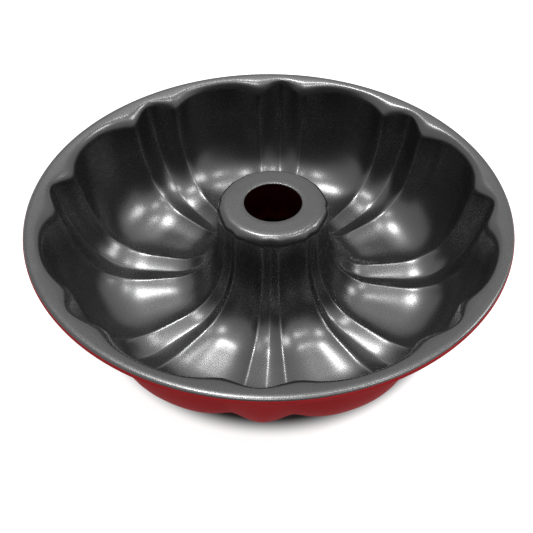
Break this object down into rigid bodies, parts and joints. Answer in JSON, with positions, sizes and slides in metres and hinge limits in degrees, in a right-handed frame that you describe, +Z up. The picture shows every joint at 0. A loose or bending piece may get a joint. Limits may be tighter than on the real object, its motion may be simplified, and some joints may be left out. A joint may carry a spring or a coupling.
{
  "type": "fluted tube pan",
  "caption": "Round fluted ring cake pan of pressed steel with a hollow centre tube, a narrow sloping flange and a rolled rim, dark non-stick inside and red outside.",
  "frame": {"origin": "on the tube's axis, in the plane of the pads that the pan stands on", "axes": "+Z up along the tube's axis, -Y towards the vee flute that faces the camera in the picture"},
  "size_m": [0.262, 0.262, 0.0705],
  "materials": {
    "lining": "satin graphite non-stick coating",
    "steel": "bare at the punched hole and the curl's end",
    "coat": "satin dark red enamel"
  },
  "bodies": {
    "root": {"nonstick_lining": "lining", "steel_shell": "steel", "red_outer_coat": "coat"}
  },
  "joints": []
}
